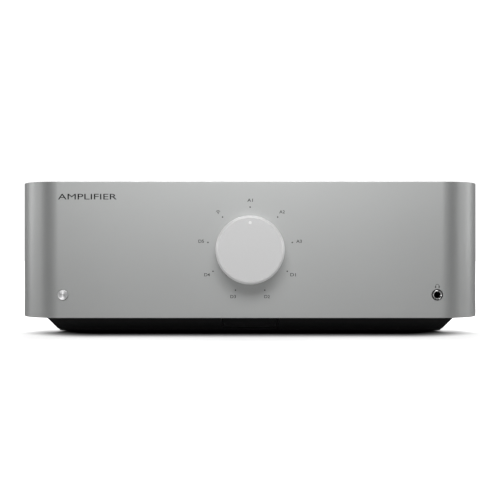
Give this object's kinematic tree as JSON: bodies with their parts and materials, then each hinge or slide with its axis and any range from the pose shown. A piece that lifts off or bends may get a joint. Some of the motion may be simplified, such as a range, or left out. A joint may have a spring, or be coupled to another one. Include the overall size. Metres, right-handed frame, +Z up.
{
  "type": "integrated amplifier",
  "caption": "Stereo amplifier: a wrapped aluminium case on a dark bevelled plinth, a two-part dial, a push button and a headphone socket in front, finned sides and sockets behind.",
  "frame": {"origin": "on the resting surface, under the middle of the overall width and depth", "axes": "+X to the viewer's right, -Y towards the viewer (the dial side), +Z up"},
  "size_m": [0.46, 0.405, 0.15],
  "materials": {
    "case_aluminium": "fine bead-blasted, natural grey anodised",
    "heatsink_aluminium": "extruded, grey anodised",
    "dial_aluminium": "finely turned, silver anodised",
    "pointer_white": "white filled mark",
    "button_aluminium": "spun face, silver anodised",
    "jack_metal": "polished nickel plate",
    "collar_black": "moulded black",
    "plinth_black": "satin black powder coat",
    "tray_black": "black powder-coated steel",
    "rear_grey": "dark grey powder-coated steel",
    "window_tint": "dark tinted, polished",
    "foot_rubber": "moulded black rubber",
    "screw_black": "blackened steel",
    "steel": "ground steel",
    "bracket_zinc": "zinc-plated sheet",
    "brass": "turned brass",
    "gear_nylon": "natural nylon",
    "switch_body": "moulded dark grey",
    "wafer_board": "brown laminate on steel spacers",
    "plunger_white": "moulded white",
    "circuit_board": "green solder mask with black and grey parts",
    "winding": "copper winding under amber polyester tape",
    "pad_rubber": "soft black rubber",
    "can_sleeve": "navy shrink sleeve",
    "transistor_epoxy": "black moulded epoxy",
    "wire_sleeve": "coloured insulation",
    "black_plastic": "moulded black",
    "red_plastic": "moulded red",
    "socket_black": "black-plated metal",
    "gold_plate": "gold-plated brass",
    "insert_white": "moulded white",
    "socket_nickel": "nickel-plated shell"
  },
  "bodies": {
    "chassis": {"front_panel": "case_aluminium", "top_cover": "case_aluminium", "heatsink_left": "heatsink_aluminium", "heatsink_right": "heatsink_aluminium", "rear_corner_left": "case_aluminium", "rear_corner_right": "case_aluminium", "rear_panel": "rear_grey", "chassis_tray": "tray_black", "plinth": "plinth_black", "window_lens": "window_tint", "feet": "foot_rubber", "case_screws": "screw_black", "volume_encoder": "switch_body", "control_bush": "brass", "control_bracket": "bracket_zinc", "source_switch": "switch_body", "switch_wafers": "wafer_board", "front_board": "circuit_board", "headphone_jack": "jack_metal", "jack_collar": "collar_black", "transformer_lower": "winding", "transformer_upper": "winding", "transformer_pads": "pad_rubber", "transformer_bolt": "steel", "power_board": "circuit_board", "reservoir_capacitors": "can_sleeve", "amp_board_left": "circuit_board", "amp_board_right": "circuit_board", "output_transistors": "transistor_epoxy", "input_board": "circuit_board", "internal_wiring": "wire_sleeve", "iec_inlet": "black_plastic", "switch_frame": "black_plastic", "xlr_sockets": "socket_black", "rca_shells": "gold_plate", "rca_inserts": "insert_white", "optical_sockets": "black_plastic", "data_sockets": "socket_nickel", "post_studs": "gold_plate", "post_bases": "black_plastic"},
    "source": {"source_dial": "dial_aluminium", "dial_pointer": "pointer_white", "source_shaft": "steel"},
    "volume": {"volume_ring": "dial_aluminium", "volume_sleeve": "brass", "volume_gear": "gear_nylon"},
    "encoder": {"encoder_pinion": "gear_nylon"},
    "button": {"standby_button": "button_aluminium", "switch_plunger": "plunger_white"},
    "rocker": {"mains_rocker": "black_plastic"},
    "shutter_1": {"optical_shutter_1": "black_plastic"},
    "shutter_2": {"optical_shutter_2": "black_plastic"},
    "washer_left_plus": {"post_washer_left_plus": "gold_plate"},
    "cap_left_plus": {"post_cap_left_plus": "red_plastic"},
    "washer_left_minus": {"post_washer_left_minus": "gold_plate"},
    "cap_left_minus": {"post_cap_left_minus": "black_plastic"},
    "washer_right_plus": {"post_washer_right_plus": "gold_plate"},
    "cap_right_plus": {"post_cap_right_plus": "red_plastic"},
    "washer_right_minus": {"post_washer_right_minus": "gold_plate"},
    "cap_right_minus": {"post_cap_right_minus": "black_plastic"}
  },
  "joints": [
    {"name": "source_turn", "type": "hinge", "parent": "chassis", "child": "source", "pos_m": [0, -0.1725, 0.0829], "axis": [0, 1, 0], "continuous": true},
    {"name": "volume_turn", "type": "hinge", "parent": "chassis", "child": "volume", "pos_m": [0, -0.1725, 0.0829], "axis": [0, 1, 0], "continuous": true},
    {"name": "encoder_turn", "type": "hinge", "parent": "chassis", "child": "encoder", "pos_m": [-0.02303, -0.139, 0.06677], "axis": [0, 1, 0], "continuous": true},
    {"name": "standby_press", "type": "slide", "parent": "chassis", "child": "button", "axis": [0, 1, 0], "range_m": [0, 0.0012], "stiffness_N_per_m": 600, "springref_m": -0.0004},
    {"name": "mains_rock", "type": "hinge", "parent": "chassis", "child": "rocker", "pos_m": [0.026, 0.1695, 0.04], "axis": [1, 0, 0], "range_deg": [-20, 0]},
    {"name": "shutter_1_swing", "type": "hinge", "parent": "chassis", "child": "shutter_1", "pos_m": [0.078, 0.1754, 0.073], "axis": [1, 0, 0], "range_deg": [-80, 0], "stiffness_Nm_per_rad": 0.0001, "springref_deg": 3.44},
    {"name": "shutter_2_swing", "type": "hinge", "parent": "chassis", "child": "shutter_2", "pos_m": [0.098, 0.1754, 0.073], "axis": [1, 0, 0], "range_deg": [-80, 0], "stiffness_Nm_per_rad": 0.0001, "springref_deg": 3.44},
    {"name": "washer_left_plus_slide", "type": "slide", "parent": "chassis", "child": "washer_left_plus", "axis": [0, 1, 0], "range_m": [0, 0.005]},
    {"name": "cap_left_plus_turn", "type": "hinge", "parent": "washer_left_plus", "child": "cap_left_plus", "pos_m": [-0.146, 0.1915, 0.104], "axis": [0, 1, 0], "range_deg": [0, 1440]},
    {"name": "washer_left_minus_slide", "type": "slide", "parent": "chassis", "child": "washer_left_minus", "axis": [0, 1, 0], "range_m": [0, 0.005]},
    {"name": "cap_left_minus_turn", "type": "hinge", "parent": "washer_left_minus", "child": "cap_left_minus", "pos_m": [-0.146, 0.1915, 0.068], "axis": [0, 1, 0], "range_deg": [0, 1440]},
    {"name": "washer_right_plus_slide", "type": "slide", "parent": "chassis", "child": "washer_right_plus", "axis": [0, 1, 0], "range_m": [0, 0.005]},
    {"name": "cap_right_plus_turn", "type": "hinge", "parent": "washer_right_plus", "child": "cap_right_plus", "pos_m": [0.146, 0.1915, 0.104], "axis": [0, 1, 0], "range_deg": [0, 1440]},
    {"name": "washer_right_minus_slide", "type": "slide", "parent": "chassis", "child": "washer_right_minus", "axis": [0, 1, 0], "range_m": [0, 0.005]},
    {"name": "cap_right_minus_turn", "type": "hinge", "parent": "washer_right_minus", "child": "cap_right_minus", "pos_m": [0.146, 0.1915, 0.068], "axis": [0, 1, 0], "range_deg": [0, 1440]}
  ],
  "couplings": [
    {"joint": "encoder_turn", "follows": "volume_turn", "ratio": -2.5},
    {"joint": "cap_left_plus_turn", "follows": "washer_left_plus_slide", "rad_per_m": 5026.5},
    {"joint": "cap_left_minus_turn", "follows": "washer_left_minus_slide", "rad_per_m": 5026.5},
    {"joint": "cap_right_plus_turn", "follows": "washer_right_plus_slide", "rad_per_m": 5026.5},
    {"joint": "cap_right_minus_turn", "follows": "washer_right_minus_slide", "rad_per_m": 5026.5}
  ]
}
